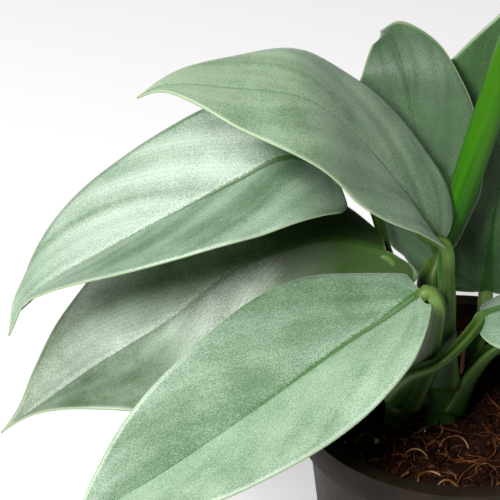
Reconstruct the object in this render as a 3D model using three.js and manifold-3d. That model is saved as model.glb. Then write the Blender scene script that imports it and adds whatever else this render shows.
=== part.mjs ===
// Potted philodendron hastatum. Millimetres, +Z up.
// The origin is the centre of the pot's base, which stands on Z = 0.
// Seen from the front (towards +Y) most leaves arch to the left (-X).
import * as THREE from 'three';
import { mergeVertices } from 'three/addons/utils/BufferGeometryUtils.js';
import Module from 'manifold-3d';

const wasm = await Module();
wasm.setup();

// Clearance between a piece and the hole or wall that holds it.
const CLEARANCE = 0.3;

// Round moulded pot with a flat lip and a skirt under the lip's outer edge.
const POT_HEIGHT = 95;
const POT_LIP_RADIUS = 53;
const POT_LIP_WIDTH = 5;
const POT_LIP_THICKNESS = 1.6;
const POT_BASE_RADIUS = 39;
const POT_WALL = 1.5;
const POT_FLOOR = 2.5;
const POT_SKIRT_HEIGHT = 9;
const POT_EDGE_ROUND = 0.6;
const POT_SEGMENTS = 40;
const SKIRT_NOTCH = { count: 4, width: 12, height: 1.6, firstAngle: -95 };
const DRAIN_HOLE = { count: 4, radius: 4, ringRadius: 25, firstAngle: 45, sides: 12 };

// Potting mix: its edge lies below the lip and its middle is heaped up a little. Crumbs and hollows
// are crossing waves, each with its change of angle per millimetre in X and Y and its start.
const SOIL_DROP_AT_EDGE = 4.5;
const SOIL_DOME = 2.2;
const SOIL_RELIEF = 0.45;
const SOIL_SEGMENTS = 32;
const SOIL_RINGS = [0.16, 0.32, 0.48, 0.62, 0.75, 0.87];
const SOIL_WAVES = [
  { x: 0.41, y: 0.23, start: 0 },
  { x: -0.31, y: 0.57, start: 1.1 },
  { x: 0.83, y: 0.71, start: 0 },
];

// Two short stems that stand in the soil, each a bent rod with its leaves' petioles in its sides.
const STEMS = {
  stem_main: { radius: 6.2, sides: 16, path: [[-8, -8, 66], [-7, -8, 92], [-7, -8, 117]] },
  stem_front: { radius: 4.6, sides: 14, path: [[-20, -12, 68], [-20, -12, 92], [-20, -13, 108]] },
};
const STEM_STEPS = 6;

// One half of a leaf's outline, from the notch at the petiole, round the base lobe, to the drip tip.
// First number along the midrib as a share of the length, second across as a share of the half width.
const LEAF_OUTLINE = [
  [0, 0], [-0.030, 0.17], [-0.022, 0.45], [0.060, 0.77], [0.22, 0.97],
  [0.40, 1.0], [0.58, 0.90], [0.74, 0.65], [0.86, 0.34], [0.94, 0.10], [1, 0],
];
// The side veins leave the midrib closer together near the base than near the tip.
const VEIN_SPACING_POWER = 1.5;
// A half that is narrower at the petiole soon regains its full width.
const TAPER_POWER = 6;
const LEAF_ROWS = 16;
const LEAF_COLUMNS = [0, 0.08, 0.32, 0.56, 0.8, 1];
const BLADE_THICKNESS = 0.9;
const RIB_DEPTH = 1.5;
const PETIOLE_SIDES = 8;
const PETIOLE_STEPS = 10;
const PETIOLE_REACH = 4;

const UP = [0, 0, 1];
const FRONT = [0, -1, 0.3];

// Each leaf: its petiole from the stem to the blade, its midrib from there to the tip, its full width
// and the direction that its face looks to. The near half is the one on the left of somebody who
// looks from the tip to the petiole. Each half has its slope up (+) or down (-) in degrees at the
// base, middle and tip, the size of its base lobe and how much narrower it is at the base.
const LEAVES = {
  leaf_front_upper: {
    petiole: [[-8, -11, 108], [-7.5, -11, 128], [-6.5, -10, 146]],
    petioleRadius: 2.7,
    midrib: [[-7.5, -9, 158], [-18, -8, 172], [-34, -8, 193], [-50, -10, 208], [-72, -12, 213],
      [-91, -14, 215], [-99, -14, 211]],
    width: 54, droop: 3, face: UP,
    near: { slopes: [28, -10, 16], lobe: -0.4, taper: 0.6 },
    far: { slopes: [25, 13, 4], lobe: 0, taper: 0.35 },
  },
  leaf_left: {
    petiole: [[-9, -3, 106], [-16, 5, 122], [-22, 11, 141], [-29, 13, 160]],
    petioleRadius: 1.9,
    midrib: [[-43, 8, 174], [-56, 1, 181], [-71, -3, 175], [-90, -7, 166], [-111, -12, 156], [-129, -18, 147],
      [-135, -20, 142], [-139, -23, 133]],
    width: 57, droop: 3, face: UP,
    near: { slopes: [-14, 14, 35], lobe: 0.2, taper: 0 },
    far: { slopes: [17, 33, -10], lobe: 1, taper: 0 },
  },
  leaf_lower: {
    petiole: [[-12, -8, 98], [-18, -5, 118], [-21, -1, 138]],
    petioleRadius: 2,
    midrib: [[-25, 1, 148], [-42, 2, 151], [-70, 0, 142], [-91, -6, 127], [-115, -13, 113.5],
      [-132, -19, 103], [-143, -24, 97]],
    width: 66, droop: 3, face: UP,
    near: { slopes: [-58, -35, 48], lobe: 2.4, taper: 0.3 },
    far: { slopes: [-12, 35, 20], lobe: -0.3, taper: 0.46 },
  },
  leaf_front: {
    petiole: [[-18, -12, 101], [-12, -15, 117], [-9, -17, 131], [-9, -18, 141]],
    petioleRadius: 2.3,
    midrib: [[-15, -19, 146], [-27, -24, 139], [-40, -30, 133], [-66, -44, 120], [-94, -58, 107],
      [-123, -72, 96]],
    width: 60, droop: 3, face: UP,
    near: { slopes: [12, 7, 4], lobe: -0.2, taper: 0 },
    far: { slopes: [0, 53, 40], lobe: 0, taper: 0.35 },
  },
  leaf_upright: {
    petiole: [[-5, -1, 104], [-8, 9, 117], [-10.5, 12, 130]],
    petioleRadius: 2.3,
    midrib: [[-8, 14, 139], [-11, 17, 150], [-13, 19, 161], [-15, 22, 172], [-17.5, 26, 185], [-20, 32, 196],
      [-23, 41, 200], [-26, 51, 196]],
    width: 40, droop: 2, face: [-0.25, -0.75, 0.65],
    near: { slopes: [-8, -2, -10], lobe: 2.2, taper: 0 },
    far: { slopes: [8, 0, -20], lobe: 0.8, taper: 0 },
  },
  leaf_back_right: {
    petiole: [[-2, -5, 103], [3, 4, 108], [7, 13, 112]],
    petioleRadius: 2,
    midrib: [[8, 18, 121], [9, 22, 140], [13, 28, 167], [18, 36, 194], [21, 44, 221]],
    width: 62, droop: 2, face: FRONT,
    near: { slopes: [-5, -2, 10], lobe: 0.3, taper: 0 },
    far: { slopes: [0, 5, 10], lobe: 0.3, taper: 0.25 },
  },
  leaf_right: {
    petiole: [[-22, -15, 105], [-17, -20, 116], [-9, -23, 123], [-2, -18, 127], [3, -10, 128]],
    petioleRadius: 1.8,
    midrib: [[6, -5, 129], [20, -6, 135], [40, -6, 138], [62, -8, 130], [78, -10, 114]],
    width: 46, droop: 3, face: UP,
    near: { slopes: [-18, -8, 0], lobe: 1, taper: 0 },
    far: { slopes: [-8, 0, 5], lobe: 1, taper: 0 },
  },
  leaf_right_low: {
    petiole: [[-4, -10, 96], [2, -8, 108], [10, -8, 118]],
    petioleRadius: 2,
    midrib: [[22, -10, 122], [44, -16, 122], [66, -26, 112], [84, -36, 97], [92, -42, 84]],
    width: 50, droop: 3, face: UP,
    near: { slopes: [5, 5, 5], lobe: 1, taper: 0 },
    far: { slopes: [0, -5, 5], lobe: 1, taper: 0 },
  },
  leaf_back: {
    petiole: [[-8, -4, 98], [-9, 10, 107], [-7, 28, 120]],
    petioleRadius: 2,
    midrib: [[0, 40, 136], [12, 62, 150], [26, 86, 152], [36, 108, 142], [42, 124, 126]],
    width: 54, droop: 3, face: UP,
    near: { slopes: [8, 8, 5], lobe: 1, taper: 0 },
    far: { slopes: [8, 8, 5], lobe: 1, taper: 0 },
  },
};

// The newest leaf, still rolled up: a thin stalk that swells into a straight pointed roll.
const ROLL = {
  stalk: [[-5, -4, 108], [-6, 1, 125], [-7, 4, 138]],
  stalkRadius: 1.7,
  foot: [-6, 7, 148],
  direction: [0.27, 0.17, 0.945],
  sides: 14,
  // Height above the foot, then radius.
  profile: [
    [-6, 1.2], [0, 2.4], [9, 3.8], [20, 4.5], [34, 4.7], [62, 4.6], [86, 3.5], [102, 1.8], [109, 0.5],
  ],
};

// Dry sheath scraps of old leaves: curved strips that stand round a stem's top, between two angles.
const SHEATHS = {
  sheath_front: { stem: 'stem_main', height: 12, foot: 106, from: 279, to: 316 },
  sheath_right: { stem: 'stem_main', height: 17, foot: 110.5, from: -38, to: 12 },
};
const SHEATH_THICKNESS = 0.7;
const SHEATH_SEGMENTS = 6;
// The ragged top of a scrap: across as a share of its half span, then up as a share of its height.
const SHEATH_TOP = [[1, 0.45], [0.2, 0.95], [-0.3, 0.7], [-1, 0.5]];

const COLOURS = {
  pot: 0x3e3e38,
  soil: 0x3a2415,
  stem: 0x3f6a2a,
  leaf: 0x86a992,
  roll: 0x5ba02a,
  sheath: 0x7a4630,
};

function vector(point) {
  return new THREE.Vector3(...point);
}

function curveThrough(points) {
  return new THREE.CatmullRomCurve3(points.map(vector), false, 'centripetal');
}

// Turns a closed three.js geometry into a solid that can be joined and cut.
function solidOf(geometry) {
  const bare = geometry.clone();
  bare.deleteAttribute('normal');
  bare.deleteAttribute('uv');
  const merged = mergeVertices(bare);
  return new wasm.Manifold(new wasm.Mesh({
    numProp: 3,
    vertProperties: new Float32Array(merged.attributes.position.array),
    triVerts: new Uint32Array(merged.index.array),
  }));
}

function geometryOf(solid) {
  const mesh = solid.getMesh();
  const geometry = new THREE.BufferGeometry();
  geometry.setAttribute('position', new THREE.BufferAttribute(mesh.vertProperties, 3));
  geometry.setIndex(new THREE.BufferAttribute(mesh.triVerts, 1));
  geometry.computeVertexNormals();
  return geometry;
}

function circleShape(radius) {
  const shape = new THREE.Shape();
  shape.absarc(0, 0, radius, 0, 2 * Math.PI, false);
  return shape;
}

// A solid rod along a smooth path. A circle drawn with n curve segments gets 2n sides.
function rod(points, radius, sides, steps) {
  return solidOf(new THREE.ExtrudeGeometry(circleShape(radius), {
    extrudePath: curveThrough(points),
    steps,
    curveSegments: sides / 2,
    bevelEnabled: false,
  }));
}

// Quadratic through the values at the base, the middle and the tip.
function alongLeaf([base, middle, tip], share) {
  const bow = 4 * share * (1 - share);
  return base * (1 - share) * (1 - 2 * share) + middle * bow + tip * share * (2 * share - 1);
}

// Where the midrib is at a share of its length, with the directions along it, across it and out of
// the leaf's face.
function midribFrame(leaf, midrib, share) {
  const point = midrib.getPointAt(share);
  const tangent = midrib.getTangentAt(share);
  const side = vector(leaf.face).cross(tangent).normalize();
  const normal = tangent.clone().cross(side);
  return { point, tangent, side, normal };
}

// The blade's middle surface as rows of points from the notch to the tip, with their normals.
function bladeRows(leaf) {
  const midrib = curveThrough(leaf.midrib);
  const length = midrib.getLength();
  const halfWidth = leaf.width / 2;
  const edge = curveThrough(LEAF_OUTLINE.map(([along, across]) => [along, across, 0]));
  const columns = [...LEAF_COLUMNS.slice(1).reverse().map((u) => -u), ...LEAF_COLUMNS];

  function surfacePoint(row, u) {
    const share = row / LEAF_ROWS;
    const half = u > 0 ? leaf.near : leaf.far;
    const rim = edge.getPoint(share);
    const rimAlong = rim.x < 0 ? rim.x * half.lobe : rim.x;
    const along = THREE.MathUtils.lerp(share ** VEIN_SPACING_POWER, rimAlong, Math.abs(u));
    const station = THREE.MathUtils.clamp(along, 0, 1);
    const across = halfWidth * rim.y * Math.abs(u) * (1 - half.taper * (1 - station) ** TAPER_POWER);
    const { point, tangent, side, normal } = midribFrame(leaf, midrib, station);
    const slope = THREE.MathUtils.degToRad(alongLeaf(half.slopes, station));
    const lift = across * Math.sin(slope) - leaf.droop * (across / halfWidth) ** 2;
    point.addScaledVector(tangent, (along - station) * length);
    point.addScaledVector(side, Math.sign(u) * across * Math.cos(slope));
    point.addScaledVector(normal, lift);
    return { point, normal };
  }

  const rows = [];
  for (let row = 0; row <= LEAF_ROWS; row += 1) {
    rows.push(columns.map((u) => surfacePoint(row, u)));
  }
  // Inside the outline the normal follows the surface itself, so the blade is equally thick all over.
  for (let row = 1; row < LEAF_ROWS; row += 1) {
    for (let column = 0; column < columns.length; column += 1) {
      const left = rows[row][Math.max(column - 1, 0)].point;
      const right = rows[row][Math.min(column + 1, columns.length - 1)].point;
      const ahead = rows[row + 1][column].point;
      const behind = rows[row - 1][column].point;
      const across = right.clone().sub(left);
      const along = ahead.clone().sub(behind);
      rows[row][column].normal = along.cross(across).normalize();
    }
  }
  return { rows, columns };
}

// A closed blade: both faces are split into triangles alike, and a wall joins them round the margin.
// The rib stands out under the midrib and fades towards the tip.
function bladeSolid(leaf) {
  const { rows, columns } = bladeRows(leaf);
  const last = columns.length - 1;
  const positions = [];
  const index = [];

  function addFace(offsetAt) {
    return rows.map((points, row) => {
      const atEnd = row === 0 || row === LEAF_ROWS;
      const used = atEnd ? [points[last / 2]] : points;
      const numbers = used.map(({ point, normal }, column) => {
        const u = atEnd ? 0 : columns[column];
        positions.push(...point.clone().addScaledVector(normal, offsetAt(u, row / LEAF_ROWS)).toArray());
        return positions.length / 3 - 1;
      });
      return atEnd ? columns.map(() => numbers[0]) : numbers;
    });
  }

  function addTriangle(a, b, c) {
    if (a !== b && b !== c && c !== a) {
      index.push(a, b, c);
    }
  }

  const top = addFace(() => BLADE_THICKNESS / 2);
  const bottom = addFace((u, share) => -BLADE_THICKNESS / 2 - (u === 0 ? RIB_DEPTH * (1 - share) : 0));
  for (let row = 0; row < LEAF_ROWS; row += 1) {
    for (let column = 0; column < last; column += 1) {
      addTriangle(top[row][column], top[row + 1][column], top[row + 1][column + 1]);
      addTriangle(top[row][column], top[row + 1][column + 1], top[row][column + 1]);
      addTriangle(bottom[row][column], bottom[row + 1][column + 1], bottom[row + 1][column]);
      addTriangle(bottom[row][column], bottom[row][column + 1], bottom[row + 1][column + 1]);
    }
    addTriangle(top[row][0], bottom[row][0], bottom[row + 1][0]);
    addTriangle(top[row][0], bottom[row + 1][0], top[row + 1][0]);
    addTriangle(top[row][last], bottom[row + 1][last], bottom[row][last]);
    addTriangle(top[row][last], top[row + 1][last], bottom[row + 1][last]);
  }
  const geometry = new THREE.BufferGeometry();
  geometry.setAttribute('position', new THREE.Float32BufferAttribute(positions, 3));
  geometry.setIndex(index);
  return solidOf(geometry);
}

// The petiole runs on under the blade, inside its rib, and ends a little way along the midrib.
function petiolePath(leaf) {
  const midrib = curveThrough(leaf.midrib);
  const underBlade = [0, PETIOLE_REACH / midrib.getLength()].map((share) => {
    const { point, normal } = midribFrame(leaf, midrib, share);
    return point.addScaledVector(normal, -leaf.petioleRadius).toArray();
  });
  return [...leaf.petiole, ...underBlade];
}

function petioleSolid(leaf, radiusExtra) {
  return rod(petiolePath(leaf), leaf.petioleRadius + radiusExtra, PETIOLE_SIDES, PETIOLE_STEPS);
}

function leafSolid(leaf) {
  return bladeSolid(leaf).add(petioleSolid(leaf, 0));
}

function rollStalk(radiusExtra) {
  return rod([...ROLL.stalk, ROLL.foot], ROLL.stalkRadius + radiusExtra, PETIOLE_SIDES, PETIOLE_STEPS);
}

function rollSolid() {
  const heights = ROLL.profile.map(([height, radius]) => new THREE.Vector2(radius, height));
  const [first] = heights;
  const end = heights[heights.length - 1];
  const closed = [new THREE.Vector2(0, first.y), ...heights, new THREE.Vector2(0, end.y)];
  const geometry = new THREE.LatheGeometry(closed, ROLL.sides);
  const turn = new THREE.Quaternion().setFromUnitVectors(
    new THREE.Vector3(0, 1, 0),
    vector(ROLL.direction).normalize(),
  );
  geometry.applyQuaternion(turn);
  geometry.translate(...ROLL.foot);
  return solidOf(geometry).add(rollStalk(0));
}

// Outer radius of the pot's wall at a height.
function wallRadius(height) {
  const top = POT_LIP_RADIUS - POT_LIP_WIDTH + POT_WALL;
  return THREE.MathUtils.lerp(POT_BASE_RADIUS, top, height / POT_HEIGHT);
}

function potSolid() {
  const lipUnder = POT_HEIGHT - POT_LIP_THICKNESS;
  const skirtFoot = POT_HEIGHT - POT_SKIRT_HEIGHT;
  const skirtInner = POT_LIP_RADIUS - POT_WALL;
  const lipInner = POT_LIP_RADIUS - POT_LIP_WIDTH;
  const profile = [
    [0, 0],
    [POT_BASE_RADIUS, 0],
    [wallRadius(lipUnder), lipUnder],
    [skirtInner, lipUnder],
    [skirtInner, skirtFoot],
    [POT_LIP_RADIUS, skirtFoot],
    [POT_LIP_RADIUS, POT_HEIGHT - POT_EDGE_ROUND],
    [POT_LIP_RADIUS - POT_EDGE_ROUND, POT_HEIGHT],
    [lipInner + POT_EDGE_ROUND, POT_HEIGHT],
    [lipInner, POT_HEIGHT - POT_EDGE_ROUND],
    [wallRadius(POT_FLOOR) - POT_WALL, POT_FLOOR],
    [0, POT_FLOOR],
  ];
  const points = profile.map(([radius, height]) => new THREE.Vector2(radius, height));
  const lathe = new THREE.LatheGeometry(points, POT_SEGMENTS);
  lathe.rotateX(Math.PI / 2);
  let pot = solidOf(lathe);
  for (let notch = 0; notch < SKIRT_NOTCH.count; notch += 1) {
    const angle = THREE.MathUtils.degToRad(SKIRT_NOTCH.firstAngle + (notch * 360) / SKIRT_NOTCH.count);
    const cutter = new THREE.BoxGeometry(3 * POT_WALL, SKIRT_NOTCH.width, 2 * SKIRT_NOTCH.height);
    cutter.translate(POT_LIP_RADIUS - POT_WALL / 2, 0, skirtFoot);
    cutter.rotateZ(angle);
    pot = pot.subtract(solidOf(cutter));
  }
  for (let hole = 0; hole < DRAIN_HOLE.count; hole += 1) {
    const angle = THREE.MathUtils.degToRad(DRAIN_HOLE.firstAngle + (hole * 360) / DRAIN_HOLE.count);
    const cutter = new THREE.CylinderGeometry(
      DRAIN_HOLE.radius,
      DRAIN_HOLE.radius,
      4 * POT_FLOOR,
      DRAIN_HOLE.sides,
    );
    cutter.rotateX(Math.PI / 2);
    cutter.translate(DRAIN_HOLE.ringRadius, 0, 0);
    cutter.rotateZ(angle);
    pot = pot.subtract(solidOf(cutter));
  }
  return pot;
}

function soilRelief(x, y) {
  const heights = SOIL_WAVES.map((wave) => SOIL_RELIEF * Math.sin(wave.x * x + wave.y * y + wave.start));
  return heights.reduce((sum, height) => sum + height, 0);
}

function soilSolid(stemHoles) {
  const foot = POT_FLOOR + CLEARANCE;
  const edgeHeight = POT_HEIGHT - SOIL_DROP_AT_EDGE;
  const footRadius = wallRadius(foot) - POT_WALL - CLEARANCE;
  const edgeRadius = wallRadius(edgeHeight) - POT_WALL - CLEARANCE;
  const rings = SOIL_RINGS.slice().reverse();
  const profile = [
    new THREE.Vector2(0, foot),
    new THREE.Vector2(footRadius, foot),
    new THREE.Vector2(edgeRadius, edgeHeight),
    ...rings.map((share) => new THREE.Vector2(edgeRadius * share, edgeHeight + SOIL_DOME * (1 - share ** 2))),
    new THREE.Vector2(0, edgeHeight + SOIL_DOME),
  ];
  const lathe = new THREE.LatheGeometry(profile, SOIL_SEGMENTS);
  lathe.rotateX(Math.PI / 2);
  const position = lathe.attributes.position;
  const widestRing = edgeRadius * SOIL_RINGS[SOIL_RINGS.length - 1];
  for (let i = 0; i < position.count; i += 1) {
    const x = position.getX(i);
    const y = position.getY(i);
    const onTop = position.getZ(i) > edgeHeight && Math.hypot(x, y) < widestRing + CLEARANCE;
    if (onTop) {
      position.setZ(i, position.getZ(i) + soilRelief(x, y));
    }
  }
  return stemHoles.reduce((soil, hole) => soil.subtract(hole), solidOf(lathe));
}

function stemSolid(name, radiusExtra) {
  const { radius, sides, path } = STEMS[name];
  return rod(path, radius + radiusExtra, sides, STEM_STEPS);
}

// A curved strip round the stem's top, cut to its ragged outline by a prism.
function sheathSolid({ stem, height, foot, from, to }) {
  const { radius, path } = STEMS[stem];
  const [x, y] = path[path.length - 1];
  const inner = radius + CLEARANCE;
  const outer = inner + SHEATH_THICKNESS;
  const start = THREE.MathUtils.degToRad(from);
  const end = THREE.MathUtils.degToRad(to);
  const strip = new THREE.Shape();
  strip.absarc(0, 0, outer, start, end, false);
  strip.absarc(0, 0, inner, end, start, true);
  strip.closePath();
  const wall = new THREE.ExtrudeGeometry(strip, {
    depth: height,
    curveSegments: SHEATH_SEGMENTS,
    bevelEnabled: false,
  });
  const halfSpan = outer * Math.sin((end - start) / 2) + CLEARANCE;
  const ragged = new THREE.Shape();
  ragged.moveTo(-halfSpan, -CLEARANCE);
  ragged.lineTo(halfSpan, -CLEARANCE);
  for (const [across, up] of SHEATH_TOP) {
    ragged.lineTo(halfSpan * across, height * up);
  }
  ragged.closePath();
  const prism = new THREE.ExtrudeGeometry(ragged, { depth: 2 * outer, bevelEnabled: false });
  prism.rotateX(Math.PI / 2);
  prism.translate(0, 2 * outer, 0);
  prism.rotateZ((start + end) / 2 - Math.PI / 2);
  wall.translate(x, y, foot);
  prism.translate(x, y, foot);
  return solidOf(wall).intersect(solidOf(prism));
}

const group = new THREE.Group();

function addNode(name, solid, colour, roughness) {
  const material = new THREE.MeshStandardMaterial({ color: colour, roughness, metalness: 0 });
  const mesh = new THREE.Mesh(geometryOf(solid), material);
  mesh.name = name;
  group.add(mesh);
}

const petioleSockets = Object.values(LEAVES).map((leaf) => petioleSolid(leaf, CLEARANCE));
petioleSockets.push(rollStalk(CLEARANCE));
const stemHoles = Object.keys(STEMS).map((name) => stemSolid(name, CLEARANCE));

addNode('pot', potSolid(), COLOURS.pot, 0.6);
addNode('soil', soilSolid(stemHoles), COLOURS.soil, 0.95);
for (const name of Object.keys(STEMS)) {
  const stem = petioleSockets.reduce((solid, socket) => solid.subtract(socket), stemSolid(name, 0));
  addNode(name, stem, COLOURS.stem, 0.5);
}
for (const [name, leaf] of Object.entries(LEAVES)) {
  addNode(name, leafSolid(leaf), COLOURS.leaf, 0.45);
}
addNode('leaf_rolled', rollSolid(), COLOURS.roll, 0.35);
for (const [name, sheath] of Object.entries(SHEATHS)) {
  addNode(name, sheathSolid(sheath), COLOURS.sheath, 0.8);
}

export default group;
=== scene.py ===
# %% [markdown]
# # A potted philodendron hastatum
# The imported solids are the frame: they say where each leaf, stem and the pot are. Everything that
# shows is modelled again here, finer, in the same place, in metres.

# %% Load the frame
import math
import random

import bmesh
import bpy
import numpy as np
from mathutils import Matrix, Vector, noise


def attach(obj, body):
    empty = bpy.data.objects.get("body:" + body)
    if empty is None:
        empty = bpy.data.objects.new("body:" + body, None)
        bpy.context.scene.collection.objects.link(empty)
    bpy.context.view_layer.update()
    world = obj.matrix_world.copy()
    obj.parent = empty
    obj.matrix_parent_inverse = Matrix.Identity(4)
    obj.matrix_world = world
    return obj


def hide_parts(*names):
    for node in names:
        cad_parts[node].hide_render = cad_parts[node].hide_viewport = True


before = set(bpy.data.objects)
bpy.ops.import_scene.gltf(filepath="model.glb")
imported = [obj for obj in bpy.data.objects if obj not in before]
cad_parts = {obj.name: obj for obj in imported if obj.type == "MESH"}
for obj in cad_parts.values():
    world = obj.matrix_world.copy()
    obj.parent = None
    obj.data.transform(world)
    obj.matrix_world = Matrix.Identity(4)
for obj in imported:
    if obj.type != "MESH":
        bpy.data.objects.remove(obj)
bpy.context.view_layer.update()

MM = 0.001
print("nodes:", sorted(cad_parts))

# %% [markdown]
# ## Colours and nodes
# A colour is given as an sRGB hex value, but shaders add up light, so each value is turned
# to linear once, in one place. One helper adds a node, its settings and its links, so that a
# material reads as a list of what it does. Three more join the nodes that many materials share: a
# pattern of streaks, a blend of two colours, and the reflecting surface itself.

# %% Colour and node helpers
MAIN_OUTPUTS = {"TexCoord": "Object", "Attribute": "Fac", "TexNoise": "Fac", "Mix": 2}


def linear(hex_value):
    """The linear colour of an sRGB hex value such as '#7fa283'."""
    parts = [int(hex_value[i:i + 2], 16) / 255 for i in (1, 3, 5)]
    return tuple(c / 12.92 if c <= 0.04045 else ((c + 0.055) / 1.055) ** 2.4 for c in parts) + (1.0,)


def add(tree, kind, inputs=None, **settings):
    """Adds a node and returns its main output. inputs maps a socket's name or number to a value or
    to another node's output."""
    node = tree.nodes.new("ShaderNode" + kind)
    for key, value in settings.items():
        setattr(node, key, value)
    for key, value in (inputs or {}).items():
        if isinstance(value, bpy.types.NodeSocket):
            tree.links.new(value, node.inputs[key])
        else:
            node.inputs[key].default_value = value
    return node.outputs[MAIN_OUTPUTS.get(kind, 0)] if node.outputs else None


def new_material(name):
    """An empty node material, with its tree."""
    material = bpy.data.materials.new(name)
    material.use_nodes = True
    material.node_tree.nodes.clear()
    return material, material.node_tree


def stretched_noise(tree, x, y, stretch, detail, roughness=0.5):
    """Noise over two measures of a surface, which changes faster along one than along the other."""
    place = add(tree, "CombineXYZ", {"X": x, "Y": y})
    scaled = add(tree, "VectorMath", {0: place, 1: stretch}, operation="MULTIPLY")
    return add(tree, "TexNoise", {"Vector": scaled, "Scale": 1.0, "Detail": detail,
               "Roughness": roughness})


def blend(tree, value, low, high, dark, light):
    """The colour dark where a value is low, light where it is high, and a mix between."""
    share = add(tree, "MapRange", {"Value": value, "From Min": low, "From Max": high})
    return add(tree, "Mix", {0: share, 6: linear(dark), 7: linear(light)}, data_type="RGBA")


def surface(tree, colour, roughness, relief, strength, depth_mm, more=None):
    """Ends a material with its colour, its roughness and a relief that is too fine for the mesh."""
    bump = add(tree, "Bump", {"Height": relief, "Strength": strength, "Distance": depth_mm * MM})
    shader = add(tree, "BsdfPrincipled", {"Base Color": colour, "Roughness": roughness, "Normal": bump,
                 **(more or {})})
    add(tree, "OutputMaterial", {"Surface": shader})


# %% [markdown]
# ## Smooth paths
# A midrib, a petiole and a root are all bent lines. A centripetal Catmull-Rom curve runs through
# every given point with no loops, which is the same curve that the solids use, so both agree.

# %% Path helpers
def smooth(points, steps=24):
    """Points along a centripetal Catmull-Rom curve through the given points."""
    given = [np.array(p, float) for p in points]
    ends = [2 * given[0] - given[1]] + given + [2 * given[-1] - given[-2]]
    out = []
    for i in range(1, len(ends) - 2):
        p0, p1, p2, p3 = ends[i - 1:i + 3]
        gaps = ((p0, p1), (p1, p2), (p2, p3))
        d01, d12, d23 = (max(np.linalg.norm(b - a) ** 0.5, 1e-6) for a, b in gaps)
        m1 = ((p1 - p0) / d01 - (p2 - p0) / (d01 + d12) + (p2 - p1) / d12) * d12
        m2 = ((p2 - p1) / d12 - (p3 - p1) / (d12 + d23) + (p3 - p2) / d23) * d12
        for t in np.arange(steps) / steps:
            t2, t3 = t * t, t * t * t
            out.append((2 * t3 - 3 * t2 + 1) * p1 + (t3 - 2 * t2 + t) * m1
                       + (3 * t2 - 2 * t3) * p2 + (t3 - t2) * m2)
    out.append(given[-1])
    return np.array(out)


class Path:
    """A smooth path that is walked by its share of length, from 0 to 1."""

    def __init__(self, points):
        self.line = smooth(points)
        legs = np.linalg.norm(np.diff(self.line, axis=0), axis=1)
        self.walked = np.concatenate([[0], np.cumsum(legs)])
        self.length = self.walked[-1]
        self.heading = np.gradient(self.line, axis=0)

    def along(self, table, share):
        where = share * self.length
        return Vector([np.interp(where, self.walked, table[:, k]) for k in range(3)])

    def point(self, share):
        return self.along(self.line, share)

    def tangent(self, share):
        return self.along(self.heading, share).normalized()


# %% [markdown]
# ## Finishing a piece
# Each piece is built in a bmesh, written to an object that sits at the origin, smoothed, and told
# what it rides on and which solid it stands for, which is then hidden.

# %% Piece helpers
def in_scene(name, data):
    """Puts a new object of the given data in the scene."""
    thing = bpy.data.objects.new(name, data)
    bpy.context.scene.collection.objects.link(thing)
    return thing


def mesh_of(bm, name):
    """Writes a bmesh to a new mesh and frees it."""
    mesh = bpy.data.meshes.new(name)
    bm.to_mesh(mesh)
    bm.free()
    return mesh


def finish_piece(name, bm, materials, node, smooth_shade=True):
    """Turns a bmesh into a piece that rides on the root body and replaces a solid."""
    mesh = mesh_of(bm, name)
    for material in materials:
        mesh.materials.append(material)
    if smooth_shade:
        mesh.polygons.foreach_set("use_smooth", [True] * len(mesh.polygons))
    piece = in_scene(name, mesh)
    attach(piece, "root")
    if node:
        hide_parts(node)
    print(f"{name}: {len(mesh.polygons)} faces")
    return piece


def thicken(piece, millimetres):
    """Gives a sheet its thickness, half of it on each side."""
    thick = piece.modifiers.new("thickness", "SOLIDIFY")
    thick.thickness = millimetres * MM
    thick.offset = 0
    return thick


def tube(bm, path, radius_at, up_end, around=16, steps=60, shape=None):
    """A closed tube along a path: a grid is wrapped round it. radius_at(share) is its radius, and
    shape(share, angle) scales it, where angle 0 is the side that up_end shows at the path's end."""
    turned = bm.verts.layers.float.get("around") or bm.verts.layers.float.new("around")
    walked = bm.verts.layers.float.get("along") or bm.verts.layers.float.new("along")
    ups = [Vector(up_end)]
    for i in range(steps, -1, -1):
        tangent = path.tangent(i / steps)
        up = ups[-1] - tangent * ups[-1].dot(tangent)
        ups.append(up.normalized())
    ups = ups[1:][::-1]
    made = bmesh.ops.create_grid(bm, x_segments=around, y_segments=steps, size=1)["verts"]
    for v in made:
        share = (v.co.y + 1) / 2
        angle = v.co.x * math.pi
        up = ups[round(share * steps)]
        side = up.cross(path.tangent(share))
        radius = radius_at(share) * (shape(share, angle) if shape else 1)
        v[turned] = abs(v.co.x)
        v[walked] = share
        v.co = path.point(share) + (up * math.cos(angle) + side * math.sin(angle)) * radius
    bmesh.ops.remove_doubles(bm, verts=made, dist=0.01 * MM)
    bmesh.ops.holes_fill(bm, edges=[e for e in bm.edges if e.is_boundary], sides=around + 2)
    bmesh.ops.recalc_face_normals(bm, faces=bm.faces)


# %% [markdown]
# ## Camera
# The photo looks down at the plant by 34 degrees from its front, through a long lens, so the rim of
# the pot shows as an ellipse and far and near leaves have nearly the same scale.

# %% Camera
CAMERA_TILT = 34
CAMERA_DISTANCE = 0.9
FOCAL_PIXELS = 2957
FRAME_PIXELS = 500
AIM = Vector((-66.45, 0, 148.6)) * MM

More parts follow.
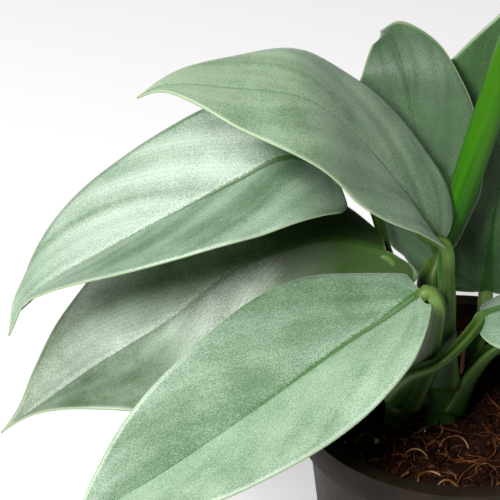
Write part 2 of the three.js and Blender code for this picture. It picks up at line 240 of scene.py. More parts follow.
camera_data = bpy.data.cameras.new("camera")
camera_data.sensor_width = 36
camera_data.lens = camera_data.sensor_width * FOCAL_PIXELS / FRAME_PIXELS
camera_data.clip_start = 0.05
camera_data.clip_end = 20
camera = in_scene("camera", camera_data)
camera.rotation_euler = (math.radians(90 - CAMERA_TILT), 0, 0)
tilt = math.radians(CAMERA_TILT)
view_direction = Vector((0, math.cos(tilt), -math.sin(tilt)))
camera.location = AIM - view_direction * CAMERA_DISTANCE
bpy.context.scene.camera = camera
bpy.context.scene.view_settings.view_transform = "Standard"
bpy.context.scene.view_settings.look = "None"
print("lens", round(camera_data.lens, 1), "mm at", [round(c, 3) for c in camera.location])

# %% [markdown]
# ## Stage and light
# The studio is plain: a pale floor that glows a little, like the photo's white ground, a dim even
# surround, a soft key lamp at the front left and a weaker one high on the left. They give the leaves
# their satin shine and drop each leaf's shadow on the one below.

# %% Floor, surround and lamps
floor_material, tree = new_material("floor_matt_white")
shader = add(tree, "BsdfPrincipled", {"Base Color": linear("#fafaf9"), "Roughness": 0.9,
             "Emission Color": linear("#ffffff"), "Emission Strength": 0.25})
add(tree, "OutputMaterial", {"Surface": shader})
bm = bmesh.new()
bmesh.ops.create_grid(bm, x_segments=1, y_segments=1, size=3)
floor = in_scene("floor", mesh_of(bm, "floor"))
floor.data.materials.append(floor_material)

WORLD_COLOUR = (0.93, 0.97, 1.0, 1.0)
WORLD_STRENGTH = 0.03
world = bpy.data.worlds.new("studio")
bpy.context.scene.world = world
world.use_nodes = True
background = world.node_tree.nodes["Background"]
background.inputs["Color"].default_value = WORLD_COLOUR
background.inputs["Strength"].default_value = WORLD_STRENGTH


def soft_lamp(name, place, aim, size, watts, colour):
    """A square area lamp at a place in metres, facing a point."""
    data = bpy.data.lights.new(name, "AREA")
    data.size = size
    data.energy = watts
    data.color = colour
    lamp = in_scene(name, data)
    lamp.location = place
    lamp.rotation_euler = (Vector(aim) - Vector(place)).to_track_quat("-Z", "Y").to_euler()


LIT_POINT = (-0.05, 0, 0.12)
LAMP_COLOUR = (1.0, 0.975, 0.99)
soft_lamp("key_lamp", (-0.43, -0.70, 0.89), LIT_POINT, 0.35, 14.5, LAMP_COLOUR)
soft_lamp("left_lamp", (-0.59, -0.10, 1.07), LIT_POINT, 0.5, 5.5, LAMP_COLOUR)

# %% [markdown]
# ## Leaf blades: the finish
# The leaf is green flesh under a thin clear skin with tiny air gaps beneath it. The gaps send back
# pale light, so a lit blade looks silvery and satin, and a shaded one deep green. The shine is a
# rough, strong reflection over a green base. The real speckle is finer than the render can show, so
# it is drawn 0.36 mm wide. Patches and bands are a centimetre or two wide: partly the skin's own
# uneven tone, partly painted shade and painted sheen of its undulations. The midrib is plain green
# near the petiole and fades out. Each blade carries its own measures as attributes:
# how far along it a point is, how far across in metres, how far from the margin, which side vein it
# lies on, and how much more or less silver it is there than elsewhere, which at some bases and
# halves is painted shade.

# %% Blade finish
BLADE_MEASURES = ("along", "across", "vein", "rim", "silvering_and_shade")
SPECKLE_MM = 0.36
PATCH_MM = 16
BAND_STRETCH = (7.0, 20.0, 1.0)
VEINS_PER_LEAF = 34.0


def blade_finish(name, light, dark, rib, rib_reach, shine, band_sheen_and_shade, speckling):
    """Leaf skin: light and dark are the two ends of its speckle, rib is the midrib's green and
    rib_reach the share of the leaf that it runs along. shine is how strongly the clear skin reflects.
    The last two are how much bands and specks differ; in the colour the bands are partly painted
    shade and painted sheen."""
    material, tree = new_material(name)
    along, across, vein, rim, silvering_and_shade = (
        add(tree, "Attribute", attribute_name=key) for key in BLADE_MEASURES)
    place = add(tree, "TexCoord")
    speckle = add(tree, "TexNoise", {"Vector": place, "Scale": 1 / (SPECKLE_MM * MM), "Detail": 2.0,
                  "Roughness": 0.6})
    # Patches a centimetre or two wide: partly the skin's uneven tone, partly painted shade of its
    # undulations.
    patch = add(tree, "TexNoise", {"Vector": place, "Scale": 1 / (PATCH_MM * MM), "Detail": 3.0,
                "Roughness": 0.55})
    # Bands that follow the side veins: noise that changes fast from vein to vein and slowly along one.
    # In the colour they are partly painted shade and painted sheen of the blade's undulations.
    band = stretched_noise(tree, vein, across, BAND_STRETCH, 2.0, 0.4)

    mixed = 0.0
    for pattern, low, high, least, most in (
            (speckle, 0.32, 0.68, -speckling, speckling), (patch, 0.3, 0.7, 0.28, 0.72),
            (band, 0.3, 0.7, -band_sheen_and_shade, band_sheen_and_shade)):
        tone = add(tree, "MapRange", {"Value": pattern, "From Min": low, "From Max": high,
                   "To Min": least, "To Max": most})
        mixed = add(tree, "Math", {0: mixed, 1: tone}, operation="ADD")
    # Silvering lightens or darkens the skin: partly real, partly painted shade on bases and halves that
    # the light reaches less.
    mixed = add(tree, "Math", {0: mixed, 1: silvering_and_shade}, operation="ADD", use_clamp=True)
    skin = add(tree, "Mix", {0: mixed, 6: linear(dark), 7: linear(light)}, data_type="RGBA")

    # Thin darker side veins, here and there.
    vein_turn = add(tree, "Math", {0: vein, 1: VEINS_PER_LEAF}, operation="MULTIPLY")
    vein_cell = add(tree, "Math", {0: vein_turn, 1: 0.5}, operation="PINGPONG")
    vein_line = add(tree, "MapRange", {"Value": vein_cell, "From Min": 0.0, "From Max": 0.09,
                    "To Min": 1.0, "To Max": 0.0}, interpolation_type="SMOOTHSTEP")
    vein_show = add(tree, "MapRange", {"Value": band, "From Min": 0.42, "From Max": 0.62,
                    "To Min": 0.05, "To Max": 0.4})
    vein_mask = add(tree, "Math", {0: vein_line, 1: vein_show}, operation="MULTIPLY")
    veined = add(tree, "Mix", {0: vein_mask, 6: skin, 7: linear(dark)}, data_type="RGBA")

    # The midrib's band: 2 mm to each side at the petiole, 1.3 mm soon after it, faint past rib_reach.
    # Its edge is ragged because the speckle runs into it.
    offset = add(tree, "Math", {0: across}, operation="ABSOLUTE")
    ragged = add(tree, "Math", {0: speckle, 1: 2.4 * MM, 2: -1.2 * MM}, operation="MULTIPLY_ADD")
    offset = add(tree, "Math", {0: offset, 1: ragged}, operation="ADD")
    flare = add(tree, "MapRange", {"Value": along, "From Min": 0.0, "From Max": 0.14,
                "To Min": 2.1 * MM, "To Max": 1.3 * MM}, interpolation_type="SMOOTHSTEP")
    taper = add(tree, "MapRange", {"Value": along, "From Min": 0.1, "From Max": rib_reach,
                "To Min": 1.0, "To Max": 0.25})
    reach = add(tree, "Math", {0: flare, 1: taper}, operation="MULTIPLY")
    inside = add(tree, "Math", {0: reach, 1: offset}, operation="SUBTRACT")
    rib_mask = add(tree, "MapRange", {"Value": inside, "From Min": -0.25 * MM, "From Max": 0.3 * MM},
                   interpolation_type="SMOOTHSTEP")
    rib_fade = add(tree, "MapRange", {"Value": along, "From Min": rib_reach * 0.55,
                   "From Max": rib_reach * 1.5, "To Min": 0.85, "To Max": 0.12})
    rib_mask = add(tree, "Math", {0: rib_mask, 1: rib_fade}, operation="MULTIPLY")
    ribbed = add(tree, "Mix", {0: rib_mask, 6: veined, 7: linear(rib)}, data_type="RGBA")

    # Painted shade darkens the groove over the midrib all the way to the tip, and the margin is paler.
    # Both fade out within about half a millimetre.
    crease_line, rim_mask = (
        add(tree, "MapRange", {"Value": distance, "From Min": 0.1 * MM, "From Max": 0.6 * MM,
            "To Min": 0.5, "To Max": 0.0}, interpolation_type="SMOOTHSTEP") for distance in (offset, rim))
    crease_start = add(tree, "MapRange", {"Value": along, "From Min": 0.0, "From Max": rib_reach,
                       "To Min": 0.7, "To Max": 1.0})
    crease = add(tree, "Math", {0: crease_line, 1: crease_start}, operation="MULTIPLY")
    creased = add(tree, "Mix", {0: crease, 6: ribbed, 7: linear(dark)}, data_type="RGBA")
    colour = add(tree, "Mix", {0: rim_mask, 6: creased, 7: linear("#a9c093")}, data_type="RGBA")

    gloss = add(tree, "MapRange", {"Value": speckle, "From Min": 0.3, "From Max": 0.7, "To Min": 0.55,
                "To Max": 0.4})
    relief = add(tree, "Math", {0: speckle, 1: band}, operation="ADD")
    relief = add(tree, "Math", {0: relief, 1: vein_mask}, operation="SUBTRACT")
    # Where there is less silver the skin shines less as well: at an old base with few air gaps, and where
    # painted shade darkens a base that other leaves shade.
    shining = add(tree, "MapRange", {"Value": silvering_and_shade, "From Min": -1.0, "From Max": -0.2,
                  "To Min": 0.2 * shine, "To Max": shine})
    lessened = add(tree, "Math", {0: rib_mask, 1: -0.8, 2: 1.0}, operation="MULTIPLY_ADD")
    shining = add(tree, "Math", {0: shining, 1: lessened}, operation="MULTIPLY")
    downy = add(tree, "Math", {0: shining, 1: 0.25 / shine}, operation="MULTIPLY")
    surface(tree, colour, gloss, relief, 0.5, 0.12, {
        "IOR": 1.7, "Specular IOR Level": shining, "Sheen Weight": downy, "Sheen Roughness": 0.45,
        "Sheen Tint": (0.85, 0.95, 0.9, 1.0)})
    return material


BLADE_FINISHES = {kind: blade_finish("leaf_skin_" + kind, *values) for kind, values in {
    "silver": ("#a6c2a5", "#4c744a", "#356414", 0.6, 0.7, 0.16, 0.5),
    # This skin's strong bands are painted sheen.
    "satin": ("#9cb59c", "#4a7049", "#2c5c16", 0.6, 0.75, 0.4, 0.45),
    # A copy with a deeper green dark end: painted shade for the leaf that lies under the others.
    "silver_in_shade": ("#b4cfb4", "#35501f", "#3f5f2a", 0.12, 0.6, 0.15, 0.22),
    "grey": ("#a2bd9b", "#4f734b", "#55804a", 0.2, 0.55, 0.25, 0.45),
    # Darker, less shiny copies: painted shade for leaves deep in the crown and turned from the light.
    "dull_and_shaded": ("#526f4e", "#2f482c", "#35551f", 0.2, 0.2, 0.2, 0.4),
    "dark": ("#4a7141", "#22421c", "#284c1e", 0.3, 0.25, 0.3, 0.4),
}.items()}
print("blade finishes:", len(BLADE_FINISHES))

# %% [markdown]
# The underside of a leaf has no silver layer: it is a plain, matt green, painted darker and deeper
# than the real paler one, so that the light it throws back deepens the shadows below. The cut-thin
# margin is translucent and pale; on its near side the pale line is also a painted highlight where
# light meets it.

# %% Underside and margin finishes
underside_finish, tree = new_material("leaf_underside_matt")
place = add(tree, "TexCoord")
cells = add(tree, "TexNoise", {"Vector": place, "Scale": 1 / (0.5 * MM), "Detail": 2.0})
patch = add(tree, "TexNoise", {"Vector": place, "Scale": 1 / (12 * MM), "Detail": 3.0})
mixed = add(tree, "Math", {0: cells, 1: patch}, operation="MULTIPLY")
# Darker greens than a real underside's: painted shade that deepens the shadows below.
surface(tree, blend(tree, mixed, 0.12, 0.4, "#33521a", "#4f7228"), 0.55, cells, 0.4, 0.1)


def margin_finish(name, light, dark):
    """The thin edge of a blade: its far side has colour that comes and goes, its near side is pale,
    partly a painted highlight where light meets it.
    """
    material, tree = new_material(name)
    place = add(tree, "TexCoord")
    drift = add(tree, "TexNoise", {"Vector": place, "Scale": 1 / (9 * MM), "Detail": 2.0})
    tinted = blend(tree, drift, 0.35, 0.6, dark, light)
    across = add(tree, "Attribute", attribute_name="across")
    near = add(tree, "Math", {0: across, 1: 0.0}, operation="GREATER_THAN")
    colour = add(tree, "Mix", {0: near, 6: tinted, 7: linear("#93ab84")}, data_type="RGBA")
    shader = add(tree, "BsdfPrincipled", {"Base Color": colour, "Roughness": 0.5})
    add(tree, "OutputMaterial", {"Surface": shader})
    return material


MARGINS = {
    "pale": margin_finish("leaf_margin_pale", "#9fb58c", "#7f9a70"),
    "purple": margin_finish("leaf_margin_purple", "#7d6c66", "#54404a"),
}

# %% [markdown]
# ## Petioles: the finish
# A petiole is smooth, firm and waxy. It is mid green, paler on the two ridges beside its channel
# and painted darker towards the stem, as painted shade of the crown, with faint lengthwise streaks
# from the fibres inside.

# %% Petiole and stem finish
STALK_STREAKS = (22.0, 3.0, 1.0)
RIDGE_PLACE = 0.24


def stalk_finish(name, top, foot, ridge):
    """Waxy stalk: top is its colour at the leaf, foot its darker colour at the stem, which is painted
    shade of the crown, ridge beside the channel.
    """
    material, tree = new_material(name)
    along, around, knuckle = (
        add(tree, "Attribute", attribute_name=key) for key in ("along", "around", "knuckle"))
    streak = stretched_noise(tree, around, along, STALK_STREAKS, 3.0)
    # Darker towards the stem: painted shade of the crown.
    base = blend(tree, along, 0.05, 0.55, foot, top)
    place = add(tree, "TexCoord")
    mottle = add(tree, "TexNoise", {"Vector": place, "Scale": 1 / (3 * MM), "Detail": 3.0})
    uneven = add(tree, "Math", {0: streak, 1: mottle}, operation="MULTIPLY")
    shade = add(tree, "MapRange", {"Value": uneven, "From Min": 0.12, "From Max": 0.36, "To Min": 0.72,
                "To Max": 1.15})
    toned = add(tree, "VectorMath", {0: base, "Scale": shade}, operation="SCALE")
    near_ridge = add(tree, "Math", {0: around, 1: RIDGE_PLACE}, operation="SUBTRACT")
    near_ridge = add(tree, "Math", {0: near_ridge}, operation="ABSOLUTE")
    ridge_mask = add(tree, "MapRange", {"Value": near_ridge, "From Min": 0.02, "From Max": 0.16,
                     "To Min": 0.3, "To Max": 0.0}, interpolation_type="SMOOTHSTEP")
    ridged = add(tree, "Mix", {0: ridge_mask, 6: toned, 7: linear(ridge)}, data_type="RGBA")
    colour = add(tree, "Mix", {0: knuckle, 6: ridged, 7: linear(ridge)}, data_type="RGBA")
    surface(tree, colour, 0.42, streak, 0.35, 0.15, {"IOR": 1.45, "Specular IOR Level": 0.3})
    return material


PETIOLE_FINISH = stalk_finish("petiole_waxy", "#44661f", "#1c380a", "#7fa352")
# The stems' greens are darker still: painted shade of the leaves over them.
STEM_FINISH = stalk_finish("stem_waxy_dark", "#35521f", "#1f360f", "#3c5a24")

# %% [markdown]
# ## Leaf shapes
# Each leaf has a petiole, a midrib and an outline. The measures are those of the solids, in
# millimetres, but for a few that were brought closer to the real plant. Near is the half on the left
# of somebody who looks along the upper face from the petiole to the tip.

# %% Leaf measures
LEAF_OUTLINE = [
    (0, 0), (-0.030, 0.17), (-0.022, 0.45), (0.060, 0.77), (0.22, 0.97),
    (0.40, 1.0), (0.58, 0.90), (0.74, 0.65), (0.86, 0.34), (0.94, 0.10), (1, 0),
]
UP = (0, 0, 1)
FRONT = (0, -1, 0.3)


def half(base, middle, tip, lobe, taper, silvering_and_shade=0.0, regain=6):
    """One half of a blade: its slopes in degrees, its base lobe's size, how much it narrows there and
    how soon it regains its width, and how much more or less silver it is next to the midrib; less
    silver there is painted shade on a half that faces away from the light."""
    return {"slopes": (base, middle, tip), "lobe": lobe, "taper": taper, "silvering_and_shade": silvering_and_shade,
            "regain": regain}


LEAVES = {
    "leaf_front_upper": {
        "petiole": [(-8, -11, 108), (-7.5, -11, 128), (-6.5, -10, 146)], "radius": 2.7,
        "midrib": [(-10.2, -9, 157.5), (-18.3, -8, 171.5), (-34, -8, 193), (-50, -10, 208),
                   (-72, -12, 213), (-91, -14, 215), (-99, -14, 211)],
        "width": 54, "near": half(28, -10, 16, -0.4, 0.6), "far": half(25, 13, 4, 0.4, 0.3, 0, 12),
        "skin": "grey", "hook": 4.2, "knuckle": 0.3, "neck": 0.68, "girth": 1.25, "seed": 1,
        "silver_and_shade_ends": (-0.3, 0.45)},
    "leaf_left": {
        "petiole": [(-10, -3, 106), (-17.8, 5, 122), (-24.2, 11, 141), (-30.5, 13, 160)], "radius": 1.9,
        "midrib": [(-43, 8, 174), (-56, 1, 181), (-71, -3, 175), (-90, -7, 166), (-111, -12, 156),
                   (-129, -18, 147), (-135, -20, 142), (-139, -23, 133)],
        "width": 57, "near": half(-14, 14, 35, 0.2, 0), "far": half(17, 33, -10, 1, 0),
        "skin": "satin", "margin": "purple", "hook": 1.0, "seed": 2, "silver_and_shade_ends": (-0.15, 0.35)},
    "leaf_lower": {
        "petiole": [(-12, -8, 98), (-18, -5, 118), (-21, -1, 138)], "radius": 2,
        "midrib": [(-25, 1, 148), (-42, 2, 151), (-70, 0, 142), (-91, -6, 127), (-115, -13, 113.5),
                   (-132, -19, 103), (-143, -24, 97)],
        "width": 66, "near": half(-58, -35, 48, 2.4, 0.3), "far": half(-12, 35, 20, -0.1, 0.46),
        "skin": "silver_in_shade", "hook": -1.3, "knuckle": 0.2, "seed": 3,
        # Its base is painted dark and less shiny, painted shade where the leaves above shade it, and its
        # tip a little darker.
        "silver_and_shade_ends": (-1.15, -0.3)},
    "leaf_front": {
        "petiole": [(-18, -12, 101), (-12.5, -15, 117), (-10, -17, 131), (-9.8, -18, 141)], "radius": 2.3,
        "midrib": [(-15, -19, 146), (-27, -24, 139), (-40, -30, 133), (-66, -44, 120), (-94, -58, 107),
                   (-123, -72, 96)],
        "width": 60,
        # The far half is painted darker by the midrib: painted shade on the half that faces away from the
        # light.
        "near": half(12, 7, 4, -0.3, 0.45, 0.1, 20), "far": half(0, 53, 40, 0, 0.35, -0.28),
        "skin": "silver", "hook": 1.4, "girth": 1.35, "neck": 0.85, "seed": 4},
    "leaf_upright": {
        "petiole": [(-5, -1, 104), (-8, 9, 117), (-10.5, 12, 130)], "radius": 2.3, "girth": 1.6,
        "midrib": [(-8, 14, 139), (-11, 17, 150), (-13, 19, 161), (-15, 22, 172), (-17.5, 26, 185),
                   (-20, 32, 196), (-23, 41, 200), (-26, 51, 196)],
        "width": 40, "droop": 2, "face": (-0.25, -0.75, 0.65),
        "near": half(-8, -2, 25, 3.2, 0), "far": half(8, 0, 0, -0.6, 0.55),
        "skin": "dull_and_shaded", "hook": 0.0, "knuckle": 0.1, "seed": 5,
        "silver_and_shade_ends": (0.4, -0.1)},
    "leaf_back_right": {
        "petiole": [(-2, -5, 103), (3, 4, 108), (7, 13, 112)], "radius": 2,
        "midrib": [(8, 18, 121), (9, 22, 140), (13, 28, 167), (18, 36, 194), (21, 44, 221)],
        "width": 62, "droop": 2, "face": FRONT,
        "near": half(-5, -2, 10, 0.3, 0), "far": half(0, 5, 10, 0.3, 0.25),
        "skin": "dark", "hook": 0.0, "seed": 6, "silver_and_shade_ends": (-0.2, 0.1)},
    "leaf_right": {
        "petiole": [(-22, -15, 105), (-17, -20, 116), (-9, -23, 123), (-2, -18, 127), (3, -10, 128)],
        "radius": 1.8,
        "midrib": [(6, -5, 129), (20, -6, 135), (40, -6, 138), (62, -8, 130), (78, -10, 114)],
        "width": 46, "near": half(-18, -8, 0, 1, 0), "far": half(-8, 0, 5, 1, 0),
        "skin": "silver", "hook": 0.5, "seed": 7},
    "leaf_right_low": {
        "petiole": [(-4, -10, 96), (2, -8, 108), (10, -8, 118)], "radius": 2,
        "midrib": [(22, -10, 122), (44, -16, 122), (66, -26, 112), (84, -36, 97), (92, -42, 84)],
        "width": 50, "near": half(5, 5, 5, 1, 0), "far": half(0, -5, 5, 1, 0),
        "skin": "silver", "hook": 0.5, "seed": 8},
    "leaf_back": {
        "petiole": [(-8, -4, 98), (-9, 10, 107), (-7, 28, 120)], "radius": 2,
        "midrib": [(0, 40, 136), (12, 62, 150), (26, 86, 152), (36, 108, 142), (42, 124, 126)],
        "width": 54, "near": half(8, 8, 5, 1, 0), "far": half(8, 8, 5, 1, 0),
        "skin": "silver", "hook": 0.5, "seed": 9},
}
print("leaves:", len(LEAVES))

# %% [markdown]
# ## Leaf blades: the shape
# A flat grid is the blade's cloth: one way runs from petiole to tip, the other from margin to
# margin. Every vertex is moved onto the leaf: out to the outline, round the midrib's bend, and up
# or down by the slope of its half. Pleats between the side veins, a groove over the midrib and a
# slow wave at the margin come on top. Solidify then gives it its thickness, with the underside and
# the margin as finishes of their own. A cloth simulation would not give these outlines.

# %% Blade builder
ROWS = 84
COLUMNS = 44
VEIN_SPACING_POWER = 1.5
BLADE_THICKNESS = 0.62
GROOVE_DEPTH = 0.45
GROOVE_REACH = 0.8
VEIN_SWEEP = 0.5
PLEAT = 0.6
PLEATS_PER_LEAF = 9
WAVE = 0.7
WAVES_PER_LEAF = 1.7
COLUMN_CROWDING = 1.3
SILVER_AND_SHADE_BASE_REACH = 0.28
SILVER_AND_SHADE_TIP_REACH = 0.3
outline_line = smooth([(a, b, 0) for a, b in LEAF_OUTLINE], 16)


def outline_at(share):
    """Along and across on the outline, at a share of its points."""
    where = share * (len(outline_line) - 1)
    return [np.interp(where, range(len(outline_line)), outline_line[:, k]) for k in (0, 1)]


def along_leaf(values, share):
    """A smooth value from the three at the base, the middle and the tip."""
    base, middle, tip = values
    rest = 1 - share
    return base * rest * (1 - 2 * share) + middle * 4 * share * rest + tip * share * (2 * share - 1)


def rib_frame(leaf, midrib, share):
    """Point, tangent, side and normal of a leaf at a share of its midrib."""
    tangent = midrib.tangent(share)
    side = Vector(leaf.get("face", UP)).cross(tangent).normalized()
    return midrib.point(share), tangent, side, tangent.cross(side)


def blade(name, leaf):
    """The blade of one leaf, as a piece that stands for its solid."""
    midrib = Path(leaf["midrib"])
    half_width = leaf["width"] / 2
    bm = bmesh.new()
    layers = {key: bm.verts.layers.float.new(key) for key in BLADE_MEASURES}
    bmesh.ops.create_grid(bm, x_segments=COLUMNS, y_segments=ROWS, size=1)
    for v in bm.verts:
        share = (v.co.y + 1) / 2
        u = math.copysign(abs(v.co.x) ** COLUMN_CROWDING, v.co.x)
        side_of = leaf["near"] if u > 0 else leaf["far"]
        rim_along, rim_across = outline_at(share)
        if rim_along < 0:
            rim_along *= side_of["lobe"]
        out = abs(u)
        along = share ** VEIN_SPACING_POWER * (1 - out) + rim_along * out
        station = min(max(along, 0), 1)
        full = half_width * rim_across * (1 - side_of["taper"] * (1 - station) ** side_of["regain"])
        across = full * out
        foot, tangent, side, normal = rib_frame(leaf, midrib, station)
        slope = math.radians(along_leaf(side_of["slopes"], station))
        vein = along - VEIN_SWEEP * out ** 1.15
        pleat = PLEAT * noise.noise(Vector((vein * PLEATS_PER_LEAF, out * 1.5, leaf["seed"] * 7.3)))
        pleat *= (4 * out * (1 - out)) ** 0.6 * min(1, rim_across * 1.3)
        wave = WAVE * out ** 2 * min(1, rim_across * 1.5) * math.sin(
            2 * math.pi * WAVES_PER_LEAF * station + leaf["seed"] * (2 if u > 0 else 3))
        groove = GROOVE_DEPTH * math.exp(-(across / GROOVE_REACH) ** 2) * (1 - station)
        droop = leaf.get("droop", 3) * (across / half_width) ** 2
        lift = across * math.sin(slope) - droop + pleat + wave - groove
        point = foot + tangent * ((along - station) * midrib.length)
        point += side * math.copysign(across * math.cos(slope), u) + normal * lift
        v[layers["along"]] = station
        v[layers["across"]] = math.copysign(across, u) * MM
        v[layers["rim"]] = (full - across) * MM
        v[layers["vein"]] = vein
        # A lighter or darker base and tip; the darkest base is painted shade.
        at_base, at_tip = leaf.get("silver_and_shade_ends", (0, 0))
        v[layers["silvering_and_shade"]] = (side_of["silvering_and_shade"] * math.exp(-((out - 0.25) / 0.45) ** 2)
                                  + at_base * math.exp(-(station / SILVER_AND_SHADE_BASE_REACH) ** 2)
                                  + at_tip * math.exp(-((1 - station) / SILVER_AND_SHADE_TIP_REACH) ** 2))
        v.co = point * MM
    bmesh.ops.remove_doubles(bm, verts=bm.verts, dist=0.01 * MM)
    normal = sum((f.normal * f.calc_area() for f in bm.faces), Vector())
    if normal.dot(Vector(leaf.get("face", UP))) < 0:
        bmesh.ops.reverse_faces(bm, faces=bm.faces)
    piece = finish_piece(name + "_blade", bm, [BLADE_FINISHES[leaf["skin"]], underside_finish,
                         MARGINS[leaf.get("margin", "pale")]], name)
    thick = thicken(piece, BLADE_THICKNESS)
    thick.material_offset = 1
    thick.material_offset_rim = 2


# %% [markdown]
# ## Petioles: the shape
# The petiole is one tube from the stem, over the bend at the blade's base, and on under the blade
# as the rib that stands out there. It has a shallow channel on its upper side and swells at its
# foot, where it clasps the stem, and again at the bend below the blade.

# %% Petiole builder
FOOT_FLARE = 2.5
CREST_BACK = 1.6
CHANNEL_DEPTH = 0.3
CHANNEL_WIDTH = 0.42
RIDGE_HEIGHT = 0.1
RIDGE_WIDTH = 0.28
RIDGE_ANGLE = 0.8
RIB_SIZES = [(0.03, 0.65), (0.12, 0.42), (0.3, 0.3), (0.55, 0.22), (0.8, 0.15), (0.93, 0.1)]


def petiole(name, leaf):
    """The petiole and the rib of one leaf."""
    midrib = Path(leaf["midrib"])
    radius = leaf["radius"]
    start, tangent, side, normal = rib_frame(leaf, midrib, 0)
    crest = start - tangent * CREST_BACK + normal * (leaf["hook"] - radius)
    points = [Vector(p) for p in leaf["petiole"]] + [crest]
    girth = radius * leaf.get("girth", 1.1)
    neck = leaf.get("neck", 1.0)
    radii = [radius * FOOT_FLARE, girth * 1.4] + [girth] * (len(points) - 3) + [radius * 1.2 * neck]
    radii[-2] *= neck
    for share, size in RIB_SIZES:
        point, tangent, side, normal = rib_frame(leaf, midrib, share)
        rib_radius = radius * size
        steepest = max(abs(along_leaf(leaf[which]["slopes"], share)) for which in ("near", "far"))
        depth = rib_radius / math.cos(math.radians(steepest)) + GROOVE_DEPTH * (1 - share) + 0.15
        points.append(point - normal * depth)
        radii.append(rib_radius)
    path = Path([p * MM for p in points])
    marks = [0.0]
    for before, after in zip(points, points[1:]):
        marks.append(marks[-1] + (after - before).length)
    marks = [m / marks[-1] for m in marks]
    blade_start = marks[len(leaf["petiole"])]

    def radius_at(share):
        return float(np.interp(share, marks, radii)) * MM

    def channel(share, angle):
        """Narrower from face to back than from side to side, with a channel between two ridges."""
        stalk = min(1, max(0, (blade_start - share) * 12)) * min(1, share * 6)
        oval = 1 / math.hypot(math.cos(angle) / (1 - 0.18 * stalk), math.sin(angle) / (1 + 0.12 * stalk))
        ridges = RIDGE_HEIGHT * math.exp(-((abs(angle) - RIDGE_ANGLE) / RIDGE_WIDTH) ** 2)
        return oval + stalk * (ridges - CHANNEL_DEPTH * math.exp(-(angle / CHANNEL_WIDTH) ** 2))

    bm = bmesh.new()
    tube(bm, path, radius_at, normal, around=24, steps=110, shape=channel)
    knuckle = bm.verts.layers.float.new("knuckle")
    walked = bm.verts.layers.float["along"]
    for v in bm.verts:
        v[knuckle] = leaf.get("knuckle", 0.6) * math.exp(-((v[walked] - blade_start + 0.01) / 0.03) ** 2)
    finish_piece(name + "_petiole", bm, [PETIOLE_FINISH], name)


for leaf_name, leaf in LEAVES.items():
    blade(leaf_name, leaf)
    petiole(leaf_name, leaf)

# %% [markdown]
# ## Rolled new leaf
# The newest leaf is still a tight roll. It is a sheet wound a little more than once round, so its
# outer edge shows as a line that climbs the roll. It is fresh: bright green, smooth and glossy.

# %% Rolled leaf finish
ROLL_STREAKS = (16.0, 2.2, 1.0)
roll_finish, tree = new_material("new_leaf_glossy")
around, along = (add(tree, "Attribute", attribute_name=key) for key in ("around", "along"))
streak = stretched_noise(tree, around, along, ROLL_STREAKS, 4.0)
green = blend(tree, streak, 0.3, 0.7, "#164502", "#2d6a04")
# The pale line at the sheet's edge is partly its own paler edge and partly a painted highlight on the
# seam. The roll is lighter towards its top.
edge = add(tree, "MapRange", {"Value": around, "From Min": 0.0, "From Max": 0.035, "To Min": 0.8,
           "To Max": 0.0}, interpolation_type="SMOOTHSTEP")
climb = add(tree, "MapRange", {"Value": along, "From Min": 0.1, "From Max": 0.8, "To Min": 0.0,
            "To Max": 0.55})
green = add(tree, "Mix", {0: climb, 6: green, 7: linear("#4f8a1c")}, data_type="RGBA")
colour = add(tree, "Mix", {0: edge, 6: green, 7: linear("#7fae45")}, data_type="RGBA")
surface(tree, colour, 0.3, streak, 0.25, 0.2, {"Specular IOR Level": 0.15})

# %% Rolled leaf shape
ROLL_STALK = [(-5, -4, 108), (-6, 1, 125), (-7, 4, 138)]
ROLL_FOOT = Vector((-6, 7, 148))
ROLL_DIRECTION = Vector((0.27, 0.17, 0.945)).normalized()
ROLL_PROFILE = [(-6, 1.2), (0, 2.4), (9, 3.8), (20, 4.5), (34, 4.7), (62, 4.6), (86, 3.5), (102, 1.8),
                (109, 0.5)]
ROLL_START = 250
ROLL_TWIST = 0.9
ROLL_TURNS = 1.3
ROLL_WALL = 0.45

bm = bmesh.new()
turned = bm.verts.layers.float.new("around")
walked = bm.verts.layers.float.new("along")
bmesh.ops.create_grid(bm, x_segments=64, y_segments=70, size=1)
across_roll = ROLL_DIRECTION.cross(Vector((0, 1, 0))).normalized()
behind_roll = ROLL_DIRECTION.cross(across_roll)
heights = [p[0] for p in ROLL_PROFILE]
for v in bm.verts:
    wound = (v.co.x + 1) / 2
    climbed = (v.co.y + 1) / 2
    height = heights[0] + climbed * (heights[-1] - heights[0])
    outer = float(np.interp(height, heights, [p[1] for p in ROLL_PROFILE]))
    inward = min(0.75, outer * 0.3) * wound
    angle = math.radians(ROLL_START) + climbed * ROLL_TWIST + wound * ROLL_TURNS * 2 * math.pi
    v[turned] = wound
    v[walked] = climbed
    v.co = (ROLL_FOOT + ROLL_DIRECTION * height
            + (across_roll * math.cos(angle) + behind_roll * math.sin(angle)) * (outer - inward)) * MM
bmesh.ops.recalc_face_normals(bm, faces=bm.faces)
roll = finish_piece("leaf_rolled_sheet", bm, [roll_finish], "leaf_rolled")
thicken(roll, ROLL_WALL)


def stalk_radius(share):
    """The roll's stalk goes on inside the roll, where it swells and then ends in a point."""
    return float(np.interp(share, [0, 0.3, 0.4, 0.6, 1], [2.0, 1.7, 2.2, 2.6, 0.4])) * MM


stalk_points = [Vector(p) for p in ROLL_STALK]
stalk_points += [ROLL_FOOT + ROLL_DIRECTION * height for height in (-3, 12, 60, 104)]
bm = bmesh.new()
tube(bm, Path([p * MM for p in stalk_points]), stalk_radius, FRONT)
finish_piece("leaf_rolled_stalk", bm, [roll_finish], "leaf_rolled")

# %% [markdown]
# ## Stems
# Two short stems stand in the soil. They are ringed by the scars of old leaves and painted dark
# green, as painted shade of the leaves over them.

# %% Stems
SCAR_PLACES = (0.62, 0.8)
SCAR_HEIGHT = 0.06


